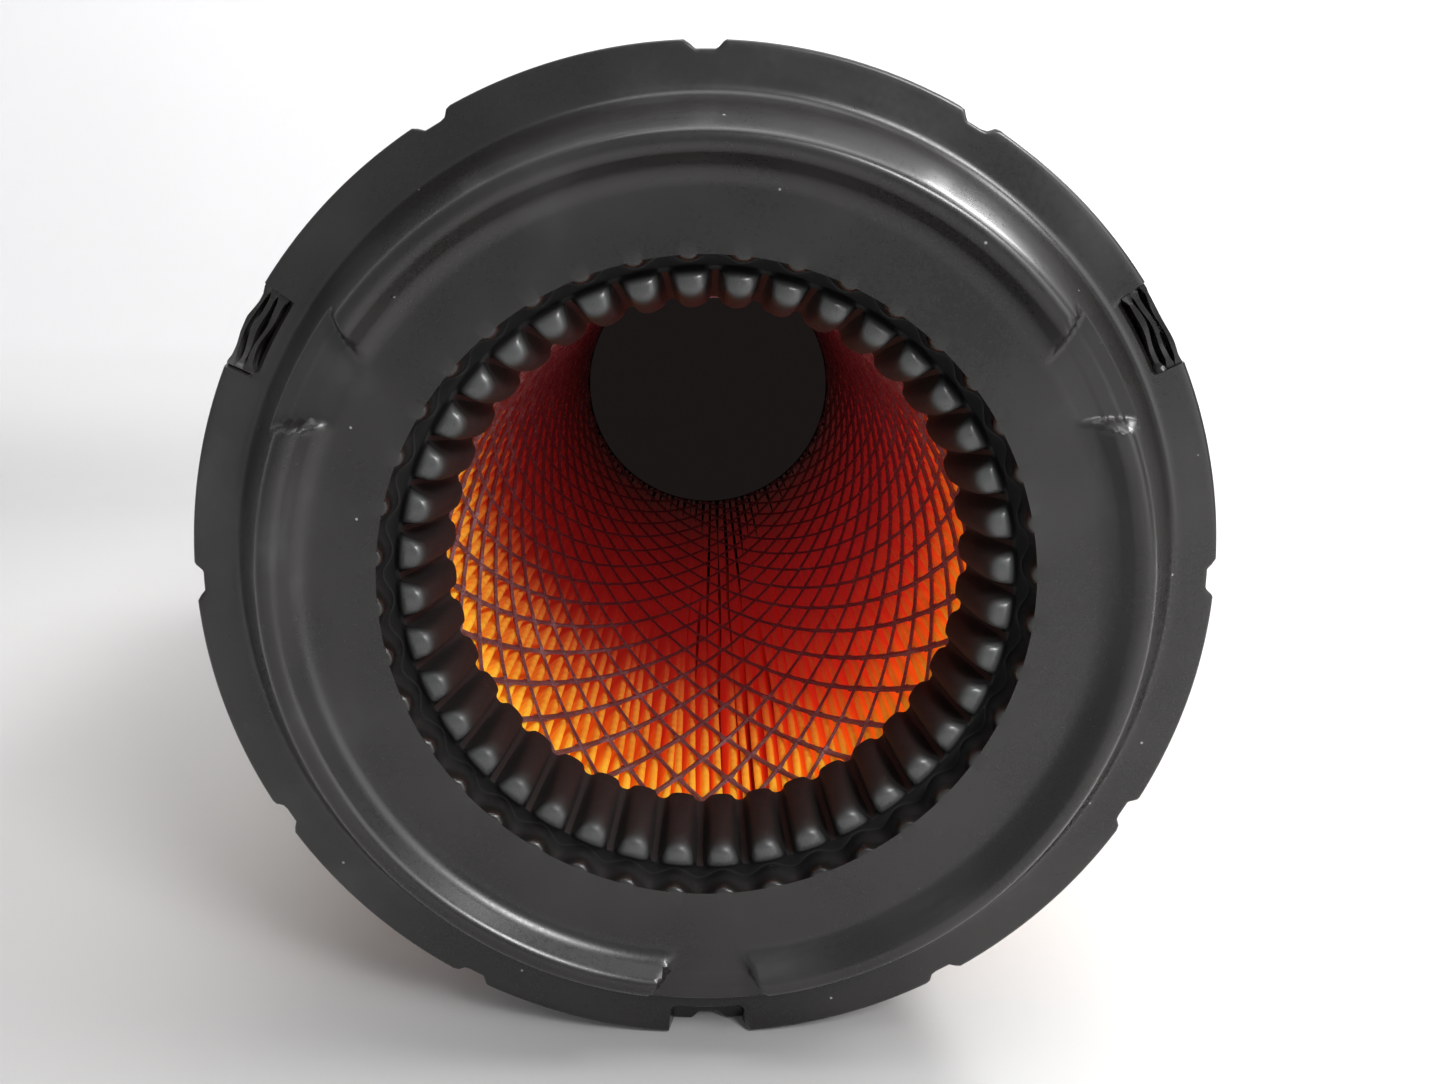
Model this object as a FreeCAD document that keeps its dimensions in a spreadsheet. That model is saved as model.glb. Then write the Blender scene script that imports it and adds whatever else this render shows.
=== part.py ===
import FreeCAD, Part
import Sketcher
import math
import os
from FreeCAD import Placement, Rotation, Vector

# Radial-seal air filter element, millimetres. The bore runs along Y, the open end faces -Y,
# +Z is up. Every depth below is measured behind the front plane of the open end's rim;
# each sub-part's Placement then moves the origin to the middle of the sealing land. The caps
# are moulded onto the liners and the pack, so those pieces meet face to face.

doc = FreeCAD.newDocument("AirFilter")
sheet = doc.addObject("Spreadsheet::Sheet", "Sizes")

sizes = [
    # overall
    ("rimRadius", 118.0), ("discDepth", 413.0), ("sealRadius", 61.6),
    # rim and skirt of both caps
    ("rimThick", 18.0), ("rimChamfer", 1.2), ("skirtStep", 2.0), ("skirtWall", 4.4),
    ("skirtReach", 32.0),
    # shoulder, face and ridge of the open cap, stepping inwards from the rim
    ("rimLand", 10.4), ("coveWidth", 2.0), ("footRise", 2.6), ("shoulderRun", 4.5),
    ("faceRise", 10.6), ("ridgeRun", 3.2), ("ridgeWidth", 2.9), ("ridgeFall", 4.7),
    ("ridgeHeight", 5.9), ("ridgeGapFoot", 16.8), ("ridgeGapTop", 24.0),
    # rim notches and key pockets
    ("notchCount", 12), ("notchRadius", 6.3), ("notchDepth", 1.9),
    ("keyCount", 3), ("keyWidth", 18.5), ("keyReach", 6.5), ("keyDepth", 7.0),
    # sealing bore: a plain land, then a ring of lobes stepping outwards to the face
    ("landFront", 9.0), ("landLength", 10.2), ("lobeFlare", 2.0), ("lobeDepth", 2.0),
    ("noseRun", 2.6), ("noseRise", 5.4), ("noseWidth", 3.2), ("lobeFall", 2.0),
    ("shelfWidth", 1.0), ("shelfRise", 1.8),
    ("fluteCount", 40), ("flutePhase", 1.6), ("fluteBackRadius", 2.5), ("fluteFrontRadius", 3.5),
    ("fluteBackCut", 1.6), ("fluteFrontCut", 10.4), ("fluteLift", 2.6), ("fluteOverrun", 1.8),
    ("scallopTopCut", 3.0), ("scallopFootCut", 1.6), ("scallopTopRadius", 4.3),
    ("scallopFootRadius", 3.7), ("scallopLift", 2.0),
    # liners
    ("linerSet", 2.6), ("linerWall", 1.0), ("strandWidth", 1.8),
    ("innerCells", 30), ("innerPitch", 28.1), ("innerPhase", 1.3), ("innerLead", 2.4),
    ("outerCells", 36), ("outerPitch", 40.0), ("outerPhase", 0.0), ("outerLead", 4.0),
    ("seamWidth", 9.0), ("seamWall", 0.8), ("seamTurn", 90.0),
    # pleat pack
    ("pleatCount", 120), ("packGap", 1.0), ("paperWall", 0.6),
    ("tipInner", 2.1), ("tipOuter", 3.0), ("bondReach", 6.0),
    ("beadWidth", 5.0), ("beadCount", 4),
    # closed cap
    ("plugReach", 7.0), ("backThick", 14.0), ("bumperInset", 15.0), ("bumperSlope", 4.0),
    ("bumperWidth", 4.5), ("bumperRise", 7.0), ("dishLand", 6.5), ("dishSlope", 12.0),
    ("dishDepth", 6.0),
    # reach of the cutting shapes past the solids
    ("overcut", 3.0),
]
# places worked out from those sizes, so that the caps, liners and pack keep meeting each other
places = {
    "sealEnd": "landFront + landLength",
    "packBack": "discDepth + plugReach",
    "capBack": "packBack + backThick",
    "skirtRadius": "rimRadius - skirtStep",
    "socketRadius": "skirtRadius - skirtWall",
    "outerLiner": "socketRadius - linerWall",
    "innerLiner": "sealRadius + linerSet",
    "pleatOuter": "outerLiner - packGap",
    "pleatInner": "innerLiner + linerWall",
    "coveRadius": "rimRadius - rimLand",
    "footRadius": "coveRadius - coveWidth",
    "shoulderRadius": "footRadius - shoulderRun",
    "ridgeOuter": "shoulderRadius - ridgeRun",
    "ridgeInner": "ridgeOuter - ridgeWidth",
    "ridgeFoot": "ridgeInner - ridgeFall",
    "ridgeRise": "faceRise + ridgeHeight",
    "keyFloor": "rimRadius - keyReach",
    "lobeRadius": "sealRadius + lobeFlare",
    "lobeNose": "lobeRadius + noseRun",
    "lobeBack": "lobeNose + noseWidth",
    "shelfRadius": "lobeBack + lobeFall",
    "stepRadius": "shelfRadius + shelfWidth",
    "valleyFront": "sealRadius + fluteFrontCut",
    "valleyBack": "sealRadius + fluteBackCut",
    "scallopTop": "stepRadius + scallopTopCut",
    "scallopFoot": "stepRadius + scallopFootCut",
    "bumperOuterFoot": "rimRadius - bumperInset",
    "bumperOuter": "bumperOuterFoot - bumperSlope",
    "bumperInner": "bumperOuter - bumperWidth",
    "bumperInnerFoot": "bumperInner - bumperSlope",
    "dishRim": "bumperInnerFoot - dishLand",
    "dishRadius": "dishRim - dishSlope",
}
sheet.set("A1", "name")
sheet.set("B1", "value")
for row, (alias, value) in enumerate(sizes, start=2):
    sheet.set("A%d" % row, alias)
    sheet.set("B%d" % row, repr(value))
    sheet.setAlias("B%d" % row, alias)
doc.recompute()


def size(alias):
    return float(getattr(sheet, alias))


def split(word):
    """A word's sign and the word without it."""
    if word[0] == "-" and len(word) > 1:
        return "-", word[1:]
    return "", word


def ref(text):
    """Turn words such as '-faceRise + overcut' into an expression on the sheet."""
    out = []
    for word in text.split():
        sign, word = split(word)
        if word in "+-*/" or word[0].isdigit():
            out.append(sign + word)
        elif word in places:
            out.append(sign + "(" + ref(places[word]) + ")")
        else:
            out.append(sign + "Sizes." + word)
    return " ".join(out)


def value(text):
    """The number that the same words stand for."""
    total, product, outer, inner = 0.0, None, 1.0, "*"
    for word in text.split():
        sign, word = split(word)
        if word in "+-":
            total += outer * product
            outer, product = (1.0 if word == "+" else -1.0), None
        elif word in "*/":
            inner = word
        else:
            if word[0].isdigit():
                number = float(word)
            else:
                number = value(places[word]) if word in places else size(word)
            number = -number if sign else number
            if product is None:
                product = number
            else:
                product = product * number if inner == "*" else product / number
    return total + outer * product


def plane(body, role):
    return [item for item in body.Origin.OriginFeatures if item.Role == role][0]


def newBody(name):
    body = doc.addObject("PartDesign::Body", name)
    body.Label = name
    body.Placement = Placement(Vector(0, -1, 0), Rotation())
    body.setExpression(".Placement.Base.y", ref(shiftWords))
    return body


def newSketch(body, name, role):
    sketch = body.newObject("Sketcher::SketchObject", name)
    sketch.AttachmentSupport = [(plane(body, role), "")]
    sketch.MapMode = "FlatFace"
    return sketch


def bindPoint(sketch, line, x, y):
    """Tie the start of one line to two sheet lengths measured from the sketch origin."""
    for text, kind, axis in ((x, "DistanceX", -2), (y, "DistanceY", -1)):
        if abs(value(text)) < 1e-9:
            sketch.addConstraint(Sketcher.Constraint("PointOnObject", line, 1, axis))
        else:
            index = sketch.addConstraint(Sketcher.Constraint(kind, -1, 1, line, 1, value(text)))
            sketch.setExpression("Constraints[%d]" % index, ref(text))


def polygon(sketch, corners):
    """Closed outline; every corner is a pair of sheet expressions."""
    points = [Vector(value(x), value(y), 0) for x, y in corners]
    first = sketch.GeometryCount
    for k, point in enumerate(points):
        sketch.addGeometry(Part.LineSegment(point, points[(k + 1) % len(points)]), False)
    for k in range(len(points)):
        follower = first + (k + 1) % len(points)
        sketch.addConstraint(Sketcher.Constraint("Coincident", first + k, 2, follower, 1))
    for k, (x, y) in enumerate(corners):
        bindPoint(sketch, first + k, x, y)


def revolve(body, name, sketch):
    solid = body.newObject("PartDesign::Revolution", name)
    solid.Profile = sketch
    solid.ReferenceAxis = (sketch, ["V_Axis"])
    solid.Angle = 360
    body.Tip = solid
    return solid


def repeat(body, name, feature, axis, countText):
    pattern = body.newObject("PartDesign::PolarPattern", name)
    pattern.Originals = [feature]
    pattern.Axis = axis
    pattern.Angle = 360
    pattern.Occurrences = int(value(countText))
    body.Tip = pattern
    pattern.setExpression("Occurrences", ref(countText))
    feature.Visibility = False
    return pattern


def ringCut(body, name, along, countText):
    """Cone cut along a tilted line in the bore's own plane, repeated round the bore.

    along holds (valley radius, cone radius, depth) at the two ends.
    """
    sketch = newSketch(body, name + "Sketch", "XY_Plane")
    sketch.AttachmentOffset = Placement(Vector(0, 0, 0), Rotation(Vector(0, 1, 0), 1))
    sketch.setExpression(".AttachmentOffset.Rotation.Angle", "Sizes.flutePhase * 1 deg")
    (valleyA, coneA, depthA), (valleyB, coneB, depthB) = along
    corners = [
        (valleyA + " - " + coneA, depthA), (valleyA, depthA),
        (valleyB, depthB), (valleyB + " - " + coneB, depthB),
    ]
    polygon(sketch, corners)
    start = Vector(value(corners[0][0]), value(corners[0][1]), 0)
    end = Vector(value(corners[3][0]), value(corners[3][1]), 0)
    index = sketch.addGeometry(Part.LineSegment(start, end), True)
    sketch.addConstraint(Sketcher.Constraint("Coincident", index, 1, 0, 1))
    sketch.addConstraint(Sketcher.Constraint("Coincident", index, 2, 3, 1))
    groove = body.newObject("PartDesign::Groove", name)
    groove.Profile = sketch
    groove.ReferenceAxis = (sketch, ["Axis0"])
    groove.Angle = 360
    body.Tip = groove
    return repeat(body, name + "Ring", groove, (sketch, ["V_Axis"]), countText)


def notches(body):
    sketch = newSketch(body, body.Name + "NotchSketch", "XZ_Plane")
    centre = "rimRadius + notchRadius - notchDepth"
    circle = sketch.addGeometry(
        Part.Circle(Vector(value(centre), 0, 0), Vector(0, 0, 1), size("notchRadius")), False)
    sketch.addConstraint(Sketcher.Constraint("PointOnObject", circle, 3, -1))
    index = sketch.addConstraint(Sketcher.Constraint("DistanceX", -1, 1, circle, 3, value(centre)))
    sketch.setExpression("Constraints[%d]" % index, ref(centre))
    index = sketch.addConstraint(Sketcher.Constraint("Radius", circle, size("notchRadius")))
    sketch.setExpression("Constraints[%d]" % index, ref("notchRadius"))
    pocket = body.newObject("PartDesign::Pocket", body.Name + "Notch")
    pocket.Profile = sketch
    pocket.Type = "ThroughAll"
    pocket.Midplane = True
    body.Tip = pocket
    return repeat(body, body.Name + "NotchRing", pocket, (sketch, ["N_Axis"]), "notchCount")


def block(body, name, role, corners, lengthText, offsetText, countText):
    """Prism cut from a sketch plane shifted along its own normal, repeated round the bore."""
    sketch = newSketch(body, name + "Sketch", role)
    if offsetText:
        sketch.AttachmentOffset = Placement(Vector(0, 0, 1), Rotation())
        sketch.setExpression(".AttachmentOffset.Base.z", ref(offsetText))
    polygon(sketch, corners)
    pocket = body.newObject("PartDesign::Pocket", name)
    pocket.Profile = sketch
    pocket.Type = "Length"
    pocket.Length = value(lengthText)
    pocket.setExpression("Length", ref(lengthText))
    body.Tip = pocket
    spin = (sketch, ["N_Axis"]) if role == "XZ_Plane" else (sketch, ["V_Axis"])
    return repeat(body, name + "Ring", pocket, spin, countText)


# from the rim's front plane to the middle of the sealing land
shiftWords = "-landFront - landLength / 2"
shift = value(shiftWords)


def openEndCap():
    """Moulded cap with the sealing bore, face, ridge arcs, rim notches and key pockets."""
    body = newBody("open_end_cap")
    outline = newSketch(body, "OpenOutline", "XY_Plane")
    polygon(outline, [
        ("sealRadius", "sealEnd"), ("sealRadius", "landFront"), ("lobeRadius", "-lobeDepth"),
        ("lobeNose", "-noseRise"), ("lobeBack", "-noseRise"), ("shelfRadius", "-shelfRise"),
        ("stepRadius", "-shelfRise"), ("stepRadius", "-faceRise"),
        ("ridgeFoot", "-faceRise"), ("ridgeInner", "-ridgeRise"), ("ridgeOuter", "-ridgeRise"),
        ("shoulderRadius", "-faceRise"), ("footRadius", "-footRise"), ("coveRadius", "0"),
        ("rimRadius - rimChamfer", "0"), ("rimRadius", "rimChamfer"),
        ("rimRadius", "rimThick - rimChamfer"), ("rimRadius - rimChamfer", "rimThick"),
        ("skirtRadius", "rimThick"), ("skirtRadius", "skirtReach"),
        ("socketRadius", "skirtReach"), ("socketRadius", "sealEnd"),
    ])
    revolve(body, "OpenBlank", outline)
    ringCut(body, "SealFlute", (
        ("valleyFront", "fluteFrontRadius", "-noseRise - fluteLift"),
        ("valleyBack", "fluteBackRadius", "sealEnd + fluteOverrun")), "fluteCount")
    ringCut(body, "StepScallop", (
        ("scallopTop", "scallopTopRadius", "-faceRise - scallopLift"),
        ("scallopFoot", "scallopFootRadius", "-shelfRise")), "fluteCount")
    notches(body)
    block(body, "KeyPocket", "XZ_Plane", [
        ("-keyWidth / 2", "-keyFloor"), ("keyWidth / 2", "-keyFloor"),
        ("keyWidth / 2", "-rimRadius - overcut"), ("-keyWidth / 2", "-rimRadius - overcut"),
    ], "keyDepth", "", "keyCount")
    block(body, "RidgeGap", "XY_Plane", [
        ("-ridgeGapFoot / 2", "-faceRise"), ("ridgeGapFoot / 2", "-faceRise"),
        ("ridgeGapTop / 2", "-ridgeRise - overcut"), ("-ridgeGapTop / 2", "-ridgeRise - overcut"),
    ], "shoulderRadius - ridgeFoot + overcut + overcut", "-ridgeFoot + overcut", "keyCount")
    return body


def closedEndCap():
    """Moulded blind cap with the inner plug, dished back, bumper arcs and rim notches."""
    body = newBody("closed_end_cap")
    outline = newSketch(body, "ClosedOutline", "XY_Plane")
    polygon(outline, [
        ("0", "discDepth"), ("innerLiner", "discDepth"), ("innerLiner", "packBack"),
        ("socketRadius", "packBack"), ("socketRadius", "capBack - skirtReach"),
        ("skirtRadius", "capBack - skirtReach"), ("skirtRadius", "capBack - rimThick"),
        ("rimRadius - rimChamfer", "capBack - rimThick"),
        ("rimRadius", "capBack - rimThick + rimChamfer"), ("rimRadius", "capBack - rimChamfer"),
        ("rimRadius - rimChamfer", "capBack"), ("bumperOuterFoot", "capBack"),
        ("bumperOuter", "capBack + bumperRise"), ("bumperInner", "capBack + bumperRise"),
        ("bumperInnerFoot", "capBack"), ("dishRim", "capBack"),
        ("dishRadius", "capBack - dishDepth"), ("0", "capBack - dishDepth"),
    ])
    revolve(body, "ClosedBlank", outline)
    notches(body)
    block(body, "BumperGap", "XY_Plane", [
        ("-ridgeGapFoot / 2", "capBack"), ("ridgeGapFoot / 2", "capBack"),
        ("ridgeGapTop / 2", "capBack + bumperRise + overcut"),
        ("-ridgeGapTop / 2", "capBack + bumperRise + overcut"),
    ], "bumperOuterFoot - bumperInnerFoot + overcut + overcut", "-bumperInnerFoot + overcut",
        "keyCount")
    return body


def addSolid(name, shape):
    part = doc.addObject("Part::Feature", name)
    part.Label = name
    part.Shape = shape
    part.Placement = Placement(Vector(0, shift, 0), Rotation())
    part.setExpression(".Placement.Base.y", ref(shiftWords))
    return part


def tube(inner, outer, start, end):
    along = Vector(0, 1, 0)
    base = Vector(0, start, 0)
    return Part.makeCylinder(outer, end - start, base, along).cut(
        Part.makeCylinder(inner, end - start, base, along))


def meshTube(inner, wall, cells, pitch, first, phase, ends):
    """Tube pierced by diamonds in staggered rows; the metal left between them is the strands."""
    start, end = ends
    outer = inner + wall
    strand = size("strandWidth")
    step = 2 * math.pi / cells
    slope = math.atan2(pitch / 2, math.pi * outer / cells)
    halfWide = math.pi * outer / cells - strand / 2 / math.sin(slope)
    halfLong = pitch / 2 - strand / 2 / math.cos(slope)
    depth = size("overcut")
    diamonds = []
    row = 0
    while first + row * pitch / 2 + halfLong < end - strand:
        y = first + row * pitch / 2
        for k in range(cells):
            turn = -math.pi / 2 - phase + step * (k + (0.5 if row % 2 == 0 else 0.0))
            out = Vector(math.cos(turn), 0, math.sin(turn))
            side = Vector(-math.sin(turn), 0, math.cos(turn))
            base = out * (inner - depth) + Vector(0, y, 0)
            tips = [base + side * halfWide, base + Vector(0, halfLong, 0),
                    base - side * halfWide, base - Vector(0, halfLong, 0)]
            outline = Part.Face(Part.makePolygon(tips + tips[:1]))
            diamonds.append(outline.extrude(out * (wall + 2 * depth)))
        row += 1
    return tube(inner, outer, start, end).cut(diamonds)


def strip(inner, wall, width, ends, turnDeg):
    """Lap strip that follows the tube's curve along its whole length."""
    start, end = ends
    outer = inner + wall
    angle = math.degrees(width / inner)
    sector = Part.makeCylinder(outer, end - start, Vector(0, start, 0), Vector(0, 1, 0), angle)
    core = Part.makeCylinder(inner, end - start, Vector(0, start, 0), Vector(0, 1, 0), 360)
    shape = sector.cut(core).Solids[0]
    middle = shape.CenterOfMass
    now = math.degrees(math.atan2(middle.z, middle.x))
    shape.rotate(Vector(0, 0, 0), Vector(0, 1, 0), now - turnDeg)
    return shape


def polar(radius, turn, y):
    return Vector(radius * math.cos(turn), y, radius * math.sin(turn))


def pleatRing():
    """Paper folded round the bore: two zigzag outlines one paper thickness apart."""
    count = int(size("pleatCount"))
    paper = size("paperWall")
    inner = value("pleatInner")
    outer = value("pleatOuter")
    start, end = packEnds
    halfIn = size("tipInner") / 2
    halfOut = size("tipOuter") / 2
    step = 2 * math.pi / count
    dirty, clean = [], []
    for k in range(count):
        peak = step * k
        fold = peak + step / 2
        dirty += [polar(outer, peak - halfOut / outer, start), polar(outer, peak + halfOut / outer, start),
                  polar(inner + paper, fold - (halfIn - paper) / inner, start),
                  polar(inner + paper, fold + (halfIn - paper) / inner, start)]
        clean += [polar(outer - paper, peak - (halfOut - paper) / outer, start),
                  polar(outer - paper, peak + (halfOut - paper) / outer, start),
                  polar(inner, fold - halfIn / inner, start), polar(inner, fold + halfIn / inner, start)]
    rings = [Part.makePolygon(dirty + dirty[:1]), Part.makePolygon(clean + clean[:1])]
    outline = Part.makeFace(rings, "Part::FaceMakerBullseye")
    return outline.extrude(Vector(0, end - start, 0))


def pleatBond():
    """Glue line filling the outer gap between the first and last pleat."""
    count = int(size("pleatCount"))
    outer = value("pleatOuter")
    inner = value("pleatInner + paperWall")
    reach = size("bondReach")
    start, end = packEnds
    step = 2 * math.pi / count
    peak = round(math.pi / 2 / step) * step
    fold = peak + step / 2
    sides = []
    for pleat, sign in ((peak, 1.0), (peak + step, -1.0)):
        tip = polar(outer, pleat + sign * size("tipOuter") / 2 / outer, start)
        root = polar(inner, fold - sign * (size("tipInner") / 2 - size("paperWall")) / inner, start)
        sides.append((tip, tip + (root - tip) * (reach / (root - tip).Length)))
    (tipA, lowA), (tipB, lowB) = sides
    outline = Part.Face(Part.makePolygon([tipA, tipB, lowB, lowA, tipA]))
    return outline.extrude(Vector(0, end - start, 0))


def spacingBead(number, count):
    """Hot-melt ring between the outer pleat tips and the outer liner, evenly spaced."""
    start, end = packEnds
    middle = start + (end - start) * number / (count + 1)
    half = size("beadWidth") / 2
    return tube(value("pleatOuter"), value("outerLiner"), middle - half, middle + half)


packEnds = (value("sealEnd"), value("packBack"))
built = [openEndCap(), closedEndCap()]
doc.recompute()

built.append(addSolid("inner_liner", meshTube(
    value("innerLiner"), size("linerWall"), int(size("innerCells")), size("innerPitch"),
    value("sealEnd + innerLead"), math.radians(size("innerPhase")), packEnds)))
built.append(addSolid("outer_liner", meshTube(
    value("outerLiner"), size("linerWall"), int(size("outerCells")), size("outerPitch"),
    value("skirtReach + outerLead"), math.radians(size("outerPhase")), packEnds)))
built.append(addSolid("inner_liner_seam", strip(
    value("innerLiner - seamWall"), size("seamWall"), size("seamWidth"),
    (value("sealEnd"), size("discDepth")), size("seamTurn"))))
built.append(addSolid("outer_liner_seam", strip(
    value("socketRadius"), size("seamWall"), size("seamWidth"),
    (size("skirtReach"), value("capBack - skirtReach")), size("seamTurn"))))
built.append(addSolid("pleated_media", pleatRing()))
built.append(addSolid("pleat_bond", pleatBond()))
beadCount = int(size("beadCount"))
for number in range(1, beadCount + 1):
    built.append(addSolid("pleat_bead_%d" % number, spacingBead(number, beadCount)))
doc.recompute()

for item in doc.Objects:
    if "Invalid" in item.State or "Error" in item.State:
        raise RuntimeError("%s did not rebuild: %s" % (item.Name, item.State))
os.makedirs("parts", exist_ok=True)
for item in built:
    shape = item.Shape
    if shape.isNull() or not shape.isValid() or len(shape.Solids) != 1:
        raise RuntimeError("%s is not one sound solid" % item.Label)
    shape.exportStep("parts/%s.step" % item.Label)
    box = shape.BoundBox
    print("%-18s volume %10.0f  y %7.1f to %6.1f  z %7.1f to %6.1f" % (
        item.Label, shape.Volume, box.YMin, box.YMax, box.ZMin, box.ZMax))
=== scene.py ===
import math
import bpy
import numpy as np
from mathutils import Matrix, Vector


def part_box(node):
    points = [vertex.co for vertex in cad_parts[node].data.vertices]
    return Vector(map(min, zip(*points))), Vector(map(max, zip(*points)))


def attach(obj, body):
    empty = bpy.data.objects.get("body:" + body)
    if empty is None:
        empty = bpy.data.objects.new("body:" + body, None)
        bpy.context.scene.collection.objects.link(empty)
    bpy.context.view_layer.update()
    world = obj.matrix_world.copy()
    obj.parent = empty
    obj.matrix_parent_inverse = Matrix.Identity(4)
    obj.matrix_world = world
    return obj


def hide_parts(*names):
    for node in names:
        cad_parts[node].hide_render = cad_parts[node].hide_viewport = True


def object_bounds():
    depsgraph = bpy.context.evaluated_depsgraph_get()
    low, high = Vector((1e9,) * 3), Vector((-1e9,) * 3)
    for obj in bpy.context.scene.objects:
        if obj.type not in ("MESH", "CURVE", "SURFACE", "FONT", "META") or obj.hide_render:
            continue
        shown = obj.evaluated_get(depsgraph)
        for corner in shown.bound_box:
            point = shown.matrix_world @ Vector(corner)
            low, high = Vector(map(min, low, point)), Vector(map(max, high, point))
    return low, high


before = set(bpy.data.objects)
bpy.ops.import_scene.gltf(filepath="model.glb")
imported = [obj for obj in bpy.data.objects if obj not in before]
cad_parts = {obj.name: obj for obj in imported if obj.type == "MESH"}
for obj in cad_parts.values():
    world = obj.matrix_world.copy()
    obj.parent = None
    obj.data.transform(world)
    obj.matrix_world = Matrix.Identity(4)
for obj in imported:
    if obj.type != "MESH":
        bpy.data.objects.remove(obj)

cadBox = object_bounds()
mm = 0.001
full = 2 * math.pi
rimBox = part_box("open_end_cap")
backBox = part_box("closed_end_cap")
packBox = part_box("pleated_media")
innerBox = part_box("inner_liner")
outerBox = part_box("outer_liner")
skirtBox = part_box("outer_liner_seam")  # bare stretch of the outer liner, between the two skirts
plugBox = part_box("inner_liner_seam")  # reaches the plug of the blind cap
ridgeHigh = 16.5  # crest of the ridge before the rim's front plane, mm
rimFront = rimBox[0].y / mm + ridgeHigh
print("frame loaded", [round(v, 4) for v in cadBox[0]], [round(v, 4) for v in cadBox[1]])


# general shapes

def ease(low, high, x):
    # 0 below low, 1 above high, 3t^2 - 2t^3 between
    t = np.clip((x - low) / (high - low), 0, 1)
    return t * t * (3 - 2 * t)


def hill(x, width):
    # 1 at zero, falling off as exp(-(x/width)^2)
    return np.exp(-(x / width) ** 2)


def turnGap(angle, centre):
    # signed distance in radians from the nearest turn of centre
    return (angle - centre + math.pi) % full - math.pi


def wander(a, b, seed, waves=6, slowest=2, fastest=14):
    # sum of sines along a with whole-number turns, each drifting with b; about -1 to 1
    draw = np.random.default_rng(seed)
    total = np.zeros(np.broadcast(a, b).shape)
    for wave in range(waves):
        turns = draw.integers(slowest, fastest)
        total = total + np.sin(turns * a + draw.uniform(-40, 40) * b + draw.uniform(0, full))
    return total / math.sqrt(waves) / 1.6


def curveSteps(rounding):
    # points on a rounded corner: 3 on a tight one, 6 on a wide one
    return 6 if rounding > 1.7 else 4 if rounding > 0.5 else 3


def roundOff(corners, mostCut=0.45):
    # straight runs between corners (radius, depth, rounding, run step), joined by quadratic curves;
    # a curve takes at most mostCut of the run on either side of it
    corners = [np.array(c, float) for c in corners]
    rows = []
    count = len(corners)
    for k, corner in enumerate(corners):
        here, before, after = corner[:2], corners[k - 1][:2], corners[(k + 1) % count][:2]
        inward, outward = before - here, after - here
        cut = min(corner[2], mostCut * np.linalg.norm(inward), mostCut * np.linalg.norm(outward))
        a = here + inward / np.linalg.norm(inward) * cut
        b = here + outward / np.linalg.norm(outward) * cut
        t = np.linspace(0, 1, curveSteps(corner[2]))[:, None]
        rows.append((1 - t) ** 2 * a + 2 * t * (1 - t) * here + t ** 2 * b)
        nextCut = min(corners[(k + 1) % count][2], mostCut * np.linalg.norm(outward))
        run = np.linalg.norm(outward) - cut - nextCut
        pieces = int(run // corner[3])
        if pieces > 0:
            s = (np.arange(1, pieces + 1) / (pieces + 1))[:, None]
            rows.append(b + s * run * outward / np.linalg.norm(outward))
    return np.concatenate(rows)


def gridFaces(rows, columns, wrapRows, wrapColumns):
    # quads between neighbouring rows and columns of a grid numbered row by row
    i = np.arange(rows if wrapRows else rows - 1)
    j = np.arange(columns if wrapColumns else columns - 1)
    i, j = np.meshgrid(i, j, indexing="ij")
    up, across = (i + 1) % rows, (j + 1) % columns
    quads = np.stack([i * columns + j, i * columns + across, up * columns + across, up * columns + j], -1)
    return quads.reshape(-1, 4)


def onBore(radius, turn, depth):
    # polar place round the bore, y along it
    radius, turn, depth = np.broadcast_arrays(radius, turn, depth)
    return np.stack([radius * np.cos(turn), depth, radius * np.sin(turn)], -1)


def addPiece(name, points, quads, material, nodes, creaseDeg=38):
    # mesh of quads, smooth but for edges sharper than creaseDeg, tied to the frame's root
    mesh = bpy.data.meshes.new(name)
    points = np.asarray(points, np.float32).reshape(-1, 3)
    quads = np.asarray(quads, np.int32)
    mesh.vertices.add(len(points))
    mesh.vertices.foreach_set("co", points.ravel())
    mesh.loops.add(quads.size)
    mesh.loops.foreach_set("vertex_index", quads.ravel())
    mesh.polygons.add(len(quads))
    mesh.polygons.foreach_set("loop_start", np.arange(0, quads.size, quads.shape[1], dtype=np.int32))
    mesh.update(calc_edges=True)
    mesh.validate()
    mesh.shade_smooth()
    if creaseDeg:
        mesh.set_sharp_from_angle(angle=math.radians(creaseDeg))
    piece = bpy.data.objects.new(name, mesh)
    bpy.context.scene.collection.objects.link(piece)
    mesh.materials.append(material)
    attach(piece, "root")
    if nodes:
        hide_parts(*nodes)
    print("made", name, len(quads), "faces")
    return piece


# shader writing

class Value:
    # one socket of a material; arithmetic on it adds Math nodes
    def __init__(self, recipe, socket):
        self.recipe, self.socket = recipe, socket

    def combine(self, operation, first, second):
        return self.recipe.node("ShaderNodeMath", {"operation": operation}, {0: first, 1: second}).out()

    def __add__(self, other):
        return self.combine("ADD", self, other)

    def __sub__(self, other):
        return self.combine("SUBTRACT", self, other)

    def __rsub__(self, other):
        return self.combine("SUBTRACT", other, self)

    def __mul__(self, other):
        return self.combine("MULTIPLY", self, other)

    def __pow__(self, other):
        return self.combine("POWER", self, other)


class Node:
    # one shader node, whose outputs are read by name or number
    def __init__(self, recipe, made):
        self.recipe, self.made = recipe, made

    def out(self, name=0):
        return Value(self.recipe, self.made.outputs[name])


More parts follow.
